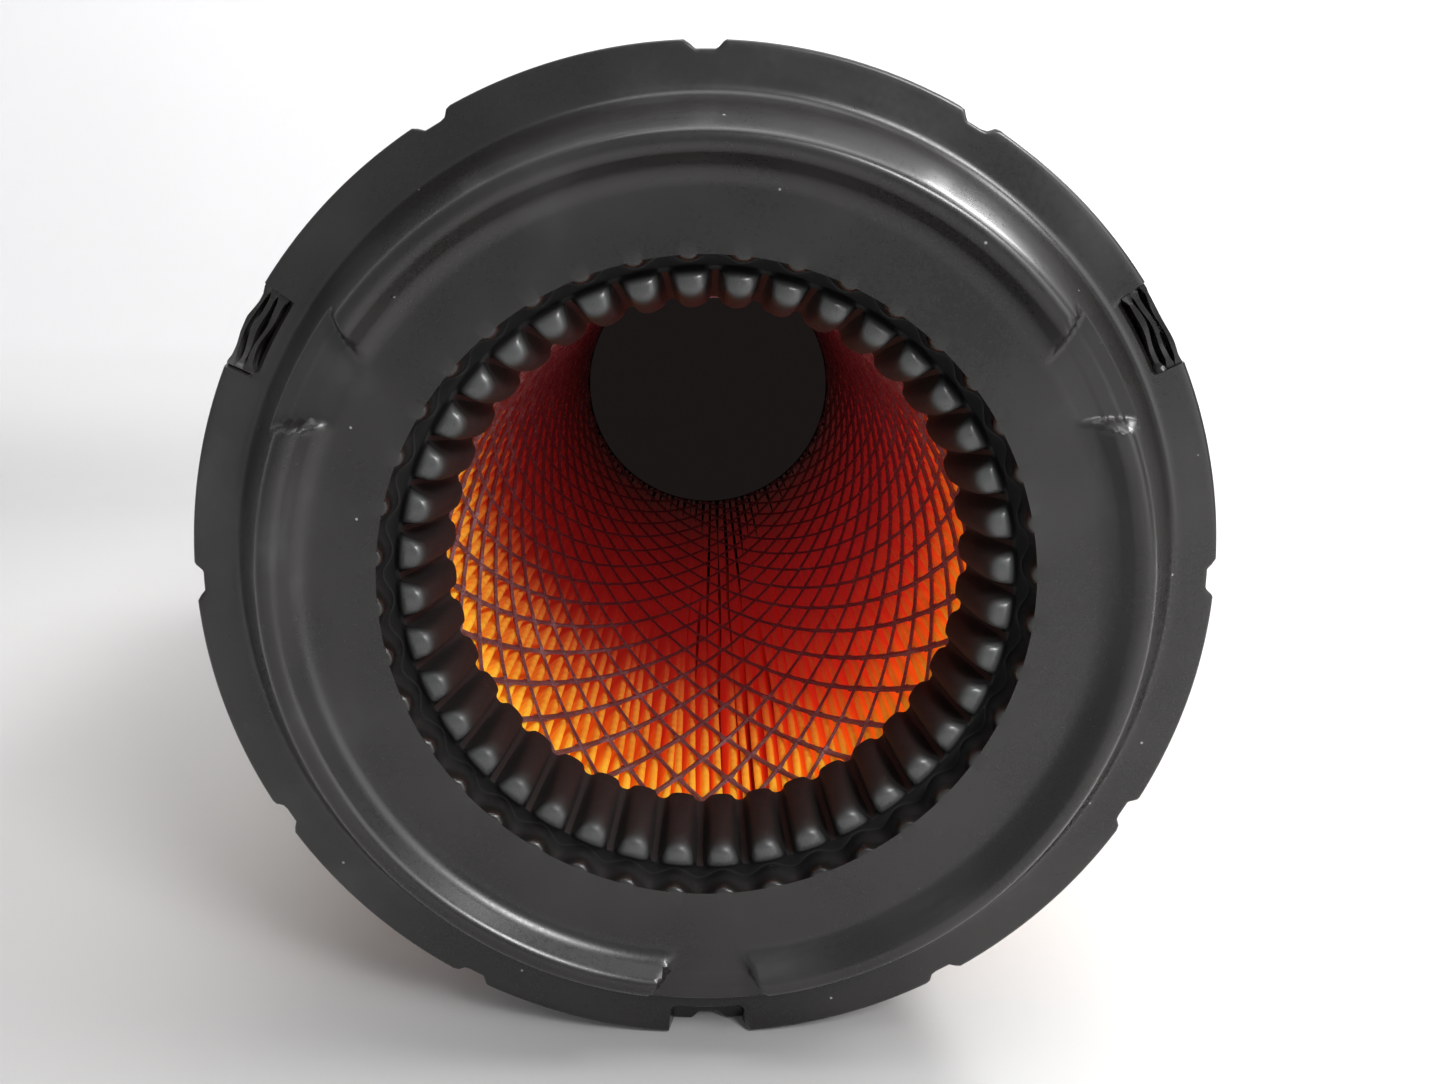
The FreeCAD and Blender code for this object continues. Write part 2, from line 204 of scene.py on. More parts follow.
class Recipe:
    # one material being written
    def __init__(self, name):
        self.material = bpy.data.materials.new(name)
        self.material.use_nodes = True
        self.tree = self.material.node_tree
        self.tree.nodes.clear()

    def node(self, kind, settings, sockets):
        # settings go on the node, sockets take a Value, a colour or a number
        made = self.tree.nodes.new(kind)
        for key, value in settings.items():
            if key == "stops":
                stops = made.color_ramp.elements
                while len(stops) < len(value):
                    stops.new(0.5)
                for stop, (place, colour) in zip(stops, value):
                    stop.position = place
                    stop.color = (*colour, 1.0) if len(colour) == 3 else colour
            else:
                setattr(made, key, value)
        for key, value in sockets.items():
            if isinstance(value, Value):
                self.tree.links.new(value.socket, made.inputs[key])
            elif isinstance(value, tuple) and len(value) == 3 and made.inputs[key].type == "RGBA":
                made.inputs[key].default_value = (*value, 1.0)
            else:
                made.inputs[key].default_value = value
        return Node(self, made)

    def place(self, scale=(1, 1, 1)):
        # object coordinates in metres, stretched by scale
        where = self.node("ShaderNodeTexCoord", {}, {}).out("Object")
        return self.node("ShaderNodeMapping", {}, {"Vector": where, "Scale": scale}).out()

    def polar(self, where):
        # distance from the bore's axis, depth along it and the place across it
        axes = self.node("ShaderNodeSeparateXYZ", {}, {0: where})
        x, depth, z = axes.out(0), axes.out(1), axes.out(2)
        return (x * x + z * z) ** 0.5, depth, x

    def noise(self, where, scale, detail=3.0, rough=0.55):
        return self.node("ShaderNodeTexNoise", {}, {
            "Vector": where, "Scale": scale, "Detail": detail, "Roughness": rough}).out()

    def band(self, value, low, high):
        # 0 below low, 1 above high
        return self.node("ShaderNodeMapRange", {"interpolation_type": "SMOOTHSTEP"}, {
            0: value, 1: low, 2: high}).out()

    def ramp(self, value, low, high, first, second):
        # straight line from first at low to second at high, held beyond them
        return self.node("ShaderNodeMapRange", {}, {0: value, 1: low, 2: high, 3: first, 4: second}).out()

    def scaled(self, colour, amount):
        return self.node("ShaderNodeVectorMath", {"operation": "SCALE"}, {0: colour, "Scale": amount}).out()

    def blend(self, amount, first, second):
        return self.node("ShaderNodeMix", {"data_type": "RGBA"}, {0: amount, 6: first, 7: second}).out(2)

    def bump(self, height, distance, strength):
        return self.node("ShaderNodeBump", {}, {
            "Height": height, "Distance": distance, "Strength": strength}).out()

    def finish(self, sockets, see=None):
        # see mixes in a share of translucent colour
        surface = self.node("ShaderNodeBsdfPrincipled", {}, sockets).out()
        if see:
            through = self.node("ShaderNodeBsdfTranslucent", {}, {"Color": see["colour"]}).out()
            surface = self.node("ShaderNodeMixShader", {}, {0: see["share"], 1: surface, 2: through}).out()
        self.node("ShaderNodeOutputMaterial", {}, {"Surface": surface})
        return self.material


# moulded foam of the two caps

# foam colours: besides the foam's own tones, one near-black is painted shade for the sealing bore's groove
# and flutes, one pale grey a painted highlight for its rib tips, and two more the painted shade and painted
# glow of the bore's far end
foam = {
    "deep": (0.008, 0.0072, 0.0065), "mid": (0.0165, 0.0152, 0.0142), "dusty": (0.050, 0.048, 0.050),
    "speck": (0.42, 0.42, 0.42), "torn": (0.13, 0.128, 0.125), "flute": (0.0035, 0.0024, 0.0022),
    "tip": (0.066, 0.068, 0.067), "shadeBlack": (0.004, 0.0035, 0.0035), "paintedGlow": (0.0095, 0.0080, 0.0075),
    "rough": (0.22, 0.38), "grain": 900.0, "cloud": 22.0, "smear": (60, 240, 60), "speckScale": 260.0,
    "speckSize": (0.05, 0.11), "speckRare": (0.955, 0.96), "shadeCloud": 60.0,
}
# where the sealing bore is painted, mm: painted shade in its groove and flutes, a painted highlight on its
# ribs' front tips; each pair fades a zone in from its first value to its second
zones = {
    "tipDepth": (-2.6, -4.8), "tipInner": (63.5, 66.8), "tipOuter": (70.5, 69.0),
    "shadeDepth": (-9.2, -5.5), "shadeOuter": (77.0, 75.2),
}


def sealZones(recipe, where):
    # 1 in the groove and flutes of the sealing bore, where shade is painted, and 1 on the front tips of its
    # ribs, where a highlight is painted
    radius, depth = recipe.polar(where)[:2]

    def zone(value, name, start=0.0):
        low, high = zones[name]
        return recipe.band(value, (start + low) * mm, (start + high) * mm)

    tips = zone(radius, "tipInner") * zone(radius, "tipOuter") * zone(depth, "tipDepth", rimFront)
    sunk = zone(depth, "shadeDepth", rimFront) * zone(radius, "shadeOuter")
    return sunk * (1 - tips), tips


def capFoam(name, lift, shine, dustColour=foam["dusty"], seal=False):
    # clouded dark foam with lift times the usual dust, and pale specks where a random cell draws one
    recipe = Recipe(name)
    where = recipe.place()
    cloud = recipe.noise(where, foam["cloud"], 2.0)
    fine = recipe.noise(where, foam["grain"], 3.0)
    smear = recipe.noise(recipe.place(foam["smear"]), 1.0, 5.0, 0.7)
    body = recipe.blend(recipe.band(cloud, 0.35, 0.68), foam["deep"], foam["mid"])
    dust = recipe.band(cloud * 0.55 + smear * 0.45, 0.52, 0.72) * lift
    body = recipe.blend(dust, body, dustColour)
    cells = recipe.node("ShaderNodeTexVoronoi", {}, {"Vector": where, "Scale": foam["speckScale"]})
    dot = 1 - recipe.band(cells.out("Distance"), *foam["speckSize"])
    drawn = recipe.node("ShaderNodeSeparateColor", {}, {0: cells.out("Color")}).out()
    rare = recipe.band(drawn, *foam["speckRare"])
    body = recipe.blend(dot * rare * 0.7, body, foam["speck"])
    rough = recipe.ramp(cloud * 0.6 + fine * 0.4, 0.3, 0.7, *foam["rough"])
    if seal:
        # painted shade darkens the sealing bore's groove and flutes, and a painted highlight pales the front
        # tips of its ribs
        sunk, tips = sealZones(recipe, where)
        body = recipe.blend(sunk * 0.85, body, foam["flute"])
        body = recipe.blend(tips * (cloud * 0.5 + 0.55), body, foam["tip"])
        rough = rough + sunk * 0.35
    height = fine * 0.05 + cloud * 0.9 + smear * 0.06
    return recipe.finish({
        "Base Color": body, "Roughness": rough, "Specular IOR Level": shine,
        "Normal": recipe.bump(height, 0.0003, 0.35)})


def paintedShadeFoam():
    # painted shade: near-black foam for the far end of the bore, which lies deep in shade, with a faint even
    # painted glow
    recipe = Recipe("paintedShadeFoam")
    cloud = recipe.noise(recipe.place(), foam["shadeCloud"], 3.0)
    shade = recipe.blend(recipe.band(cloud, 0.35, 0.65), foam["shadeBlack"], foam["deep"])
    return recipe.finish({
        "Base Color": shade, "Roughness": 0.75, "Specular IOR Level": 0.12,
        "Emission Color": foam["paintedGlow"], "Emission Strength": 1.0,
        "Normal": recipe.bump(cloud, 0.0006, 0.3)})


foamFront = capFoam("foamFront", 0.45, 0.6, seal=True)
foamBack = capFoam("foamBack", 0.75, 0.5)
foamTorn = capFoam("foamTorn", 1.6, 0.5, foam["torn"])
foamInside = paintedShadeFoam()

# shapes from here to the studio are in millimetres, with depth behind the front plane of the rim;
# the radii and pitches of materials are in metres

rimRadius = 118.0
skirtRadius = 116.0
cap = {
    "columns": 800, "lobes": 40, "lobeTurnDeg": 1.6,
    "sealRadius": 61.6, "valleyBack": 63.2, "valleyFront": 72.0, "valleyBackDepth": 21.0,
    "valleyFrontDepth": -8.0, "fluteBack": 19.3, "ribHalf": 0.66, "ribRound": 0.5, "fluteLap": 0.10,
    "fluteFull": 0.90, "crowd": 0.4,
    "stepRadius": 72.4, "stepReach": 0.72, "stepLap": 0.5, "scallopTop": 75.9, "scallopFoot": 74.4,
    "scallopShape": 1.1, "faceDepth": -10.6, "shelfDepth": -1.8, "humpFrom": 63.8, "humpTo": 71.6,
    "ridgeFrom": 89.0, "rimDeep": 18.0,
    "notches": 12, "notchWide": 9.0, "notchDeep": 1.9, "notchFlat": 0.24, "notchBand": 5.0,
}
keys = {
    "deg": (270.0, 30.0, 150.0), "wide": 18.5, "floor": 111.5, "deep": 7.0, "middle": 114.5,
    "softDeg": 0.35, "floorEase": 0.4,
    "gapDeg": 4.6, "gapSlopeDeg": 0.28, "gapEase": 1.6, "gapFrom": 91.0,
}
# slight unevenness of the moulding, kept off the sealing land, the ridge's crest and the rim's edge
uneven = {"high": 0.12, "drift": 0.02, "seed": 3, "depths": (-16.0, 7.9), "radius": 117.9}
sealEnd = packBox[0].y / mm - rimFront
packEnd = packBox[1].y / mm - rimFront
linerOut = outerBox[1].x / mm
skirtEnds = (skirtBox[0].y / mm - rimFront, skirtBox[1].y / mm - rimFront)
capCorners = [
    (cap["sealRadius"], sealEnd, 0.3, 3.6), (cap["sealRadius"], 9.0, 4.0, 2.6), (63.3, -2.0, 2.5, 1.6),
    (65.0, -5.2, 2.0, 1.2), (69.6, -5.4, 2.4, 1.2), (71.4, -1.6, 0.6, 1.2),
    (cap["stepRadius"], -1.4, 0.5, 1.2), (cap["stepRadius"], cap["faceDepth"], 1.3, 4.0),
    (90.3, cap["faceDepth"], 3.0, 4.0), (94.8, -ridgeHigh, 2.4, 1.6), (98.3, -ridgeHigh, 2.4, 2.0),
    (101.3, cap["faceDepth"], 0.6, 3.0), (105.6, -2.6, 1.8, 3.0), (107.6, 0.0, 1.6, 1.3),
    (rimRadius, 0.0, 1.0, 3.4), (rimRadius, cap["rimDeep"], 1.0, 3.0),
    (skirtRadius, cap["rimDeep"], 0.4, 5.0), (skirtRadius, skirtEnds[0], 0.6, 5.0),
    (linerOut, skirtEnds[0], 0.4, 12.0), (linerOut, sealEnd, 0.2, 12.0),
]


def keyMask(turn):
    # 1 inside the three key pockets, easing at their walls
    half = keys["wide"] / 2 / keys["middle"]
    soft = math.radians(keys["softDeg"]) / 2
    mask = np.zeros_like(turn)
    for key in keys["deg"]:
        away = np.abs(turnGap(turn, math.radians(key)))
        mask = np.maximum(mask, 1 - ease(half - soft, half + soft, away))
    return mask


def notchCut(turn):
    # depth of the rim notches: 1 across the bottom, falling to 0 at the mouth
    away = np.abs(turnGap(turn * cap["notches"], 0.0)) / cap["notches"] * rimRadius
    return 1 - ease(cap["notchWide"] * cap["notchFlat"], cap["notchWide"] / 2, away)


def ridgeLeft(turn, radius):
    # 1 where the ridge stands, 0 in the gaps, whose ends slant outwards with the radius
    left = np.ones(np.broadcast(turn, radius).shape)
    for key in keys["deg"]:
        away = np.degrees(np.abs(turnGap(turn, math.radians(key))))
        edge = keys["gapDeg"] + keys["gapSlopeDeg"] * (radius - keys["gapFrom"])
        left = np.minimum(left, ease(edge, edge + keys["gapEase"], away))
    return left


def notched(radius, turn):
    # a notch pulls the rim's edge inwards by notchDeep, and less the farther in a point lies
    outer = ease(rimRadius - cap["notchBand"], rimRadius, radius)
    return radius - cap["notchDeep"] * notchCut(turn) * outer


def ribWave(phase):
    # 0 on a rib's crown, 1 in the flute's bottom: a half-round rib, then a steep narrow flute
    across = 1 - np.abs(turnGap(phase, 0.0)) / math.pi
    crown = 1 - np.sqrt(1 - np.clip(across / cap["ribHalf"], 0, 1) ** 2)
    flute = ease(cap["ribHalf"] - cap["fluteLap"], cap["fluteFull"], across)
    return cap["ribRound"] * crown + (1 - cap["ribRound"]) * flute


def fluted(radius, depth, baseRadius, baseDepth, phase):
    # the ribs' noses sink to the shelf between ribs, and the bore opens to the valley's cone there
    wave = ribWave(phase)
    nose = (baseRadius > cap["humpFrom"]) & (baseRadius < cap["humpTo"])
    depth = depth + np.clip(cap["shelfDepth"] - baseDepth, 0, None) * nose * wave
    slope = (cap["valleyFront"] - cap["valleyBack"]) / (cap["valleyFrontDepth"] - cap["valleyBackDepth"])
    valley = cap["valleyBack"] + slope * (depth - cap["valleyBackDepth"])
    bore = (baseRadius < cap["humpTo"]) & (baseDepth < cap["fluteBack"])
    return np.where(bore, radius + np.clip(valley - radius, 0, None) * wave, radius), depth


def scalloped(radius, depth, baseRadius, baseDepth, phase):
    # the step's wall goes out by a raised cosine at every flute, farther towards the face
    step = np.abs(baseRadius - cap["stepRadius"]) < cap["stepReach"]
    step = step & (baseDepth < cap["shelfDepth"] + cap["stepLap"])
    rise = ease(cap["shelfDepth"], cap["faceDepth"], depth)
    lip = cap["scallopFoot"] + (cap["scallopTop"] - cap["scallopFoot"]) * rise
    scallop = (0.5 + 0.5 * np.cos(phase)) ** cap["scallopShape"]
    return np.where(step, radius + (lip - cap["stepRadius"]) * scallop, radius)


def pocketed(radius, depth, turn):
    # the front of the rim goes back to the pockets' depth inside them
    rimPart = ease(keys["floor"] - keys["floorEase"], keys["floor"] + keys["floorEase"], radius)
    rimPart = rimPart * (depth < keys["deep"])
    return np.maximum(depth, depth + (keys["deep"] - depth) * keyMask(turn) * rimPart)


def openCap():
    # the outline is turned about the axis, with columns crowded into the flutes; then flutes,
    # scallops, ridge gaps, pockets and notches move its points
    profile = roundOff(capCorners)
    lobeTurn = math.radians(cap["lobeTurnDeg"])
    turn = (np.arange(cap["columns"]) / cap["columns"] * full)[None, :] - lobeTurn
    turn = turn - cap["crowd"] / cap["lobes"] * np.sin((turn + lobeTurn) * cap["lobes"])
    phase = (turn + lobeTurn) * cap["lobes"]
    baseRadius, baseDepth = profile[:, 0][:, None], profile[:, 1][:, None]
    radius, depth = baseRadius + 0 * turn, baseDepth + 0 * turn
    radius, depth = fluted(radius, depth, baseRadius, baseDepth, phase)
    radius = scalloped(radius, depth, baseRadius, baseDepth, phase)
    above = np.clip(cap["faceDepth"] - depth, 0, None) * (baseRadius > cap["ridgeFrom"])
    depth = depth + above * (1 - ridgeLeft(turn, radius))
    depth = pocketed(radius, depth, turn)
    radius = notched(radius, turn)
    front, back = uneven["depths"]
    free = (baseDepth < back) & (baseDepth > front) & (baseRadius < uneven["radius"])
    depth = depth + uneven["high"] * wander(turn, baseRadius * uneven["drift"], uneven["seed"]) * free
    points = onBore(radius, turn, depth + rimFront) * mm
    quads = gridFaces(len(profile), cap["columns"], True, True)
    return addPiece("mouldedOpenCap", points, quads, foamFront, ["open_end_cap"])


openCap()

# blind cap at the far end

blind = {
    "columns": 720, "axis": 0.6, "shadeRadius": 63.0, "plug": 64.2, "bumper": 7.0, "dish": 6.0, "rim": 18.0,
    "bumperFoot": (90.5, 103.0), "bumperTop": (94.5, 99.0), "dishEdge": 84.0, "dishFloor": 72.0,
}
plugFace = plugBox[1].y / mm - rimFront
capBack = backBox[1].y / mm - rimFront - blind["bumper"]
rimStart = capBack - blind["rim"]
dishDeep = capBack - blind["dish"]
bumperBack = capBack + blind["bumper"]
blindCorners = [
    (blind["axis"], plugFace, 0.0, 8.0), (blind["plug"], plugFace, 0.6, 9.0),
    (blind["plug"], packEnd, 0.2, 12.0), (linerOut, packEnd, 0.2, 9.0),
    (linerOut, skirtEnds[1], 0.4, 9.0), (skirtRadius, skirtEnds[1], 0.6, 5.0),
    (skirtRadius, rimStart, 0.4, 5.0), (rimRadius, rimStart, 1.0, 2.5), (rimRadius, capBack, 1.2, 2.4),
    (blind["bumperFoot"][1], capBack, 1.2, 1.6), (blind["bumperTop"][1], bumperBack, 1.2, 1.6),
    (blind["bumperTop"][0], bumperBack, 1.2, 1.6), (blind["bumperFoot"][0], capBack, 1.2, 2.0),
    (blind["dishEdge"], capBack, 1.6, 2.0), (blind["dishFloor"], dishDeep, 2.5, 6.0),
    (blind["axis"], dishDeep, 0.0, 6.0),
]


def blindCap():
    # turned like the open cap: notched rim, bumper ring flattened in three gaps, ends closed on the axis
    profile = roundOff(blindCorners)
    turn = (np.arange(blind["columns"]) / blind["columns"] * full)[None, :]
    radius = profile[:, 0][:, None] + 0 * turn
    depth = profile[:, 1][:, None] + 0 * turn
    above = np.clip(depth - capBack, 0, None)
    depth = depth - above * (1 - ridgeLeft(turn, radius))
    radius = notched(radius, turn)
    radius = np.where(profile[:, 0][:, None] < blind["axis"] + 0.1, 0.0, radius)
    points = onBore(radius, turn, depth + rimFront) * mm
    quads = gridFaces(len(profile), blind["columns"], True, True)[:, ::-1]
    piece = addPiece("mouldedBlindCap", points, quads, foamBack, ["closed_end_cap"])
    # faces inside the bore take the near-black foam of painted shade
    piece.data.materials.append(foamInside)
    inside = np.zeros(len(piece.data.polygons), np.int32)
    inside[:np.argmax(profile[:, 0] > blind["shadeRadius"]) * blind["columns"]] = 1
    piece.data.polygons.foreach_set("material_index", inside)
    return piece


blindCap()

# expanded metal of the liners

# steel colours; one is a painted red glow for the strands inside the bore
steel = {
    "shade": (0.135, 0.062, 0.068), "worn": (0.27, 0.17, 0.185), "paintedRedGlow": (0.030, 0.0032, 0.0042),
    "rough": (0.36, 0.58), "cloud": 70.0, "grain": 1400.0,
    "redGlowRadii": (0.080, 0.070), "redGlowStart": 1.15,
}


def boreLight(recipe, where, colour):
    # red light thrown back and forth in the bore: colour * (start - share of the way to the far end)
    radius, depth = recipe.polar(where)[:2]
    left = steel["redGlowStart"] - recipe.band(depth, packBox[0].y, packBox[1].y)
    return recipe.scaled(colour, recipe.band(radius, *steel["redGlowRadii"]) * left)


def linerSteel():
    # dulled steel with worn patches, and a painted red glow inside the bore
    recipe = Recipe("linerSteel")
    where = recipe.place()
    cloud = recipe.noise(where, steel["cloud"], 3.0)
    grain = recipe.noise(where, steel["grain"], 2.0)
    colour = recipe.blend(recipe.band(cloud * 0.6 + grain * 0.4, 0.42, 0.66), steel["shade"], steel["worn"])
    return recipe.finish({
        "Base Color": colour, "Metallic": 0.35, "Roughness": recipe.ramp(cloud, 0.3, 0.7, *steel["rough"]),
        "Emission Color": boreLight(recipe, where, steel["paintedRedGlow"]), "Emission Strength": 1.0,
        "Normal": recipe.bump(grain, 0.0002, 0.35)})


steelSkin = linerSteel()

innerMesh = {
    "cells": 30, "pitch": 28.1, "first": 21.6, "phaseDeg": 1.3, "wide": 2.0, "thick": 0.8,
    "twistDeg": 32.0, "knuckle": 0.95, "knuckleReach": 1.9, "sunk": 0.45,
}
outerMesh = {
    "cells": 36, "pitch": 40.0, "first": 36.0, "phaseDeg": 0.0, "wide": 1.5, "thick": 0.8,
    "twistDeg": 24.0, "knuckle": 0.9, "knuckleReach": 2.4, "sunk": 0.55,
}
# shares of a strand's length where it has a section, the shortest stub that is kept, and the spare
# rows before the first and after the last, which are cut back to the tube's ends
strand = {"sections": (0.0, 0.1, 0.22, 0.5, 0.78, 0.9, 1.0), "stub": 0.04, "rowsBefore": 2, "rowsAfter": 3}


def expandedMetal(name, spec, middle, ends, node):
    # each strand runs straight in turn and depth from one knuckle to the next; its four corners are
    # centre +- width/2 across and +- thickness/2 through, twisted about its own line, wider at both ends
    start, end = ends
    rise = spec["pitch"] / 2
    rows = int((end - spec["first"]) / rise) + strand["rowsAfter"]
    row, column = np.meshgrid(np.arange(-strand["rowsBefore"], rows), np.arange(spec["cells"]), indexing="ij")
    step = full / spec["cells"]
    turn = -math.pi / 2 - math.radians(spec["phaseDeg"]) + step * (column + 0.5 * (row % 2))
    depth = spec["first"] + row * rise
    turn = np.tile(turn.ravel(), 2)
    depth = np.tile(depth.ravel(), 2)
    lean = np.repeat([0.5, -0.5], len(turn) // 2) * step
    t = np.array(strand["sections"])
    low = np.clip((start - depth) / rise, 0, 1)
    high = np.clip((end - depth) / rise, 0, 1)
    keep = high - low > strand["stub"]
    turn, depth, lean, low, high = turn[keep], depth[keep], lean[keep], low[keep], high[keep]
    t = low[:, None] + (high - low)[:, None] * t[None, :]
    angle = turn[:, None] + lean[:, None] * t
    centre = onBore(middle, angle, depth[:, None] + rise * t)
    out = onBore(1.0, angle, 0.0)
    side = np.stack([-np.sin(angle), 0 * angle, np.cos(angle)], -1)
    along = side * (lean * middle)[:, None, None] + np.array([0, rise, 0.0])
    along = along / np.linalg.norm(along, axis=-1, keepdims=True)
    across = np.cross(along, out)
    twist = math.radians(spec["twistDeg"]) * np.sign(lean)[:, None, None]
    wideWay = across * np.cos(twist) + out * np.sin(twist)
    thinWay = out * np.cos(twist) - across * np.sin(twist)
    length = math.hypot(rise, middle * step / 2)
    swell = hill(t * length, spec["knuckleReach"]) + hill((1 - t) * length, spec["knuckleReach"])
    swell = 1 + spec["knuckle"] * swell
    wide = wideWay * (spec["wide"] / 2 * swell)[..., None]
    thick = thinWay * (spec["thick"] / 2 * (0.75 + 0.25 * swell))[..., None]
    ring = [centre + wide + thick, centre - wide + thick, centre - wide - thick, centre + wide - thick]
    points = np.stack(ring, 2) + np.array([0, rimFront, 0])  # strand, section, corner, xyz
    count, sections = points.shape[0], points.shape[1]
    sides = gridFaces(sections, 4, False, True)
    lids = np.array([[3, 2, 1, 0], [0, 1, 2, 3]]) + np.array([[0], [(sections - 1) * 4]])
    one = np.concatenate([sides[:, ::-1], lids[:, ::-1]])
    quads = one[None] + (np.arange(count) * sections * 4)[:, None, None]
    return addPiece(name, points * mm, quads.reshape(-1, 4), steelSkin, [node], 50)


innerSkin = innerBox[1].x / mm - innerMesh["sunk"]
outerSkin = linerOut - outerMesh["sunk"]
strandEnds = (sealEnd + 0.4, packEnd - 0.4)
expandedMetal("innerExpandedMetal", innerMesh, innerSkin, strandEnds, "inner_liner")
expandedMetal("outerExpandedMetal", outerMesh, outerSkin, strandEnds, "outer_liner")

# lap seams of the liners

seams = {
    "wide": 9.0, "wall": 0.7, "welds": 26, "weldDeep": 0.28, "weldReach": 1.6, "across": 15, "along": 300,
    "edgeDeep": 0.12, "edgeReach": 0.4, "lift": 0.02, "innerRadius": 63.4, "outerLift": 0.05, "endGap": 0.2,
}


def lapSeam(name, inside, start, end, node):
    # a curved strip whose faces dip by weldDeep * hill(distance) at each spot weld and round off
    # by edgeDeep * hill(distance) at the edges
    across = np.linspace(-0.5, 0.5, seams["across"])
    along = np.linspace(0, 1, seams["along"])
    start, end = start + seams["endGap"], end - seams["endGap"]
    span = end - start
    u, v = np.meshgrid(along, across, indexing="ij")
    weld = (np.abs((u * seams["welds"] + 0.5) % 1 - 0.5)) * span / seams["welds"]
    dip = seams["weldDeep"] * hill(np.hypot(weld, v * seams["wide"]), seams["weldReach"])
    edge = seams["edgeDeep"] * hill((0.5 - np.abs(v)) * seams["wide"], seams["edgeReach"])
    turn = math.pi / 2 + v * seams["wide"] / inside
    depth = start + u * span + rimFront
    top = onBore(inside + seams["wall"] - dip - edge, turn, depth)
    low = onBore(inside + edge - dip * 0.5 + seams["lift"], turn, depth)
    points = np.concatenate([top, low[:, ::-1]], 1)
    around = points.shape[1]
    quads = gridFaces(len(along), around, False, True)
    k = np.arange(around // 2 - 1)
    first = np.stack([k, k + 1, around - 2 - k, around - 1 - k], -1)
    tail = first[:, ::-1] + (len(along) - 1) * around
    quads = np.concatenate([quads, first, tail])
    return addPiece(name, points * mm, quads, steelSkin, [node], 50)


lapSeam("innerLapSeam", seams["innerRadius"], sealEnd, plugFace, "inner_liner_seam")
lapSeam("outerLapSeam", linerOut + seams["outerLift"], *skirtEnds, "outer_liner_seam")

# pleated paper

pleats = {
    "count": 120, "inner": 65.55, "outer": 109.3, "tipInner": 0.72, "tipOuter": 1.25, "wall": 0.5,
    "rows": 16, "sway": 0.30, "scatter": 0.16, "lean": 0.75, "endGap": 0.3, "seed": 11,
}
paper = {
    "light": (1.0, 0.70, 0.05), "deep": (0.95, 0.46, 0.03), "glow": (0.98, 0.46, 0.04),
    "paintedShadeRed": (0.50, 0.050, 0.040), "share": 0.25, "fibre": 1500.0, "cloud": 40.0, "embossPitch": 0.0052,
    "tipRadius": 0.068, "shadeRedRadius": 0.095, "legRadius": 0.106, "outerTip": 0.1085, "side": (0.8, 1.5),
}
# painted glow standing in for daylight that the thin paper lets through to the bore, from the mouth to the
# far end
paintedPaperGlow = [
    (0.0, (0.16, 0.070, 0.004)), (0.06, (0.14, 0.030, 0.004)), (0.18, (0.13, 0.008, 0.005)),
    (0.42, (0.085, 0.0042, 0.0045)), (0.70, (0.045, 0.0030, 0.0036)), (0.9, (0.018, 0.0040, 0.0042)),
    (1.0, (0.010, 0.0060, 0.0058)),
]


def mediaPaper():
    # orange fibres with embossed bands 0.314 / scale apart, turning to a painted dark red shade deep in the
    # bore; the painted glow follows the glow table along the bore, brightest at the inner pleat tips and
    # towards +X, the side the lamps light
    recipe = Recipe("mediaPaper")
    where = recipe.place()
    cloud = recipe.noise(where, paper["cloud"], 3.0)
    fibre = recipe.noise(where, paper["fibre"], 3.0)
    colour = recipe.blend(recipe.band(cloud * 0.7 + fibre * 0.3, 0.38, 0.62), paper["deep"], paper["light"])
    waves = recipe.node("ShaderNodeTexWave", {"bands_direction": "Y"}, {
        "Vector": where, "Scale": 0.314 / paper["embossPitch"], "Distortion": 1.2, "Detail": 1.0}).out("Fac")
    height = fibre * 0.3 + waves * 0.7
    radius, depth, across = recipe.polar(where)
    inside = 1 - recipe.band(radius, paper["tipRadius"], paper["legRadius"])
    inside = inside * 0.7 + recipe.band(radius, paper["outerTip"], paper["legRadius"]) * 0.3
    far = recipe.ramp(depth, packBox[0].y, packBox[1].y, 0.0, 1.0)
    tint = recipe.node("ShaderNodeValToRGB", {"stops": paintedPaperGlow}, {0: far}).out()
    # painted shade: deeper in the bore the paper turns dark red
    bore = 1 - recipe.band(radius, paper["tipRadius"], paper["shadeRedRadius"])
    colour = recipe.blend(recipe.band(far, 0.02, 0.40) * bore, colour, paper["paintedShadeRed"])
    # painted light: the glow is stronger towards +X
    side = recipe.ramp(across, -innerBox[1].x, innerBox[1].x, *paper["side"])
    glow = recipe.scaled(tint, inside * side * (cloud * 0.5 + 0.75))
    return recipe.finish({
        "Base Color": colour, "Roughness": 0.78, "Specular IOR Level": 0.3,
        "Emission Color": glow, "Emission Strength": 1.0,
        "Normal": recipe.bump(height, 0.0005, 0.5)}, {"colour": paper["glow"], "share": paper["share"]})


paperSkin = mediaPaper()


def onePleat(step):
    # half-round inner tip, straight leg out, half-round outer tip and a leg back, as turns and radii
    bend = np.radians([-90, -45, 0, 45, 90])
    radiusIn = pleats["inner"] + pleats["tipInner"] * (1 - np.cos(bend))
    radiusOut = pleats["outer"] - pleats["tipOuter"] * (1 - np.cos(bend))
    turnIn = pleats["tipInner"] * np.sin(bend) / radiusIn + step / 2
    turnOut = pleats["tipOuter"] * np.sin(bend) / radiusOut + step
    legRadius = [(radiusIn[-1] + radiusOut[0]) / 2]
    legUp = [(turnIn[-1] + turnOut[0]) / 2]
    legDown = [(turnOut[-1] + turnIn[0] + step) / 2]
    turn = np.concatenate([turnIn, legUp, turnOut, legDown])
    return turn, np.concatenate([radiusIn, legRadius, radiusOut, legRadius])


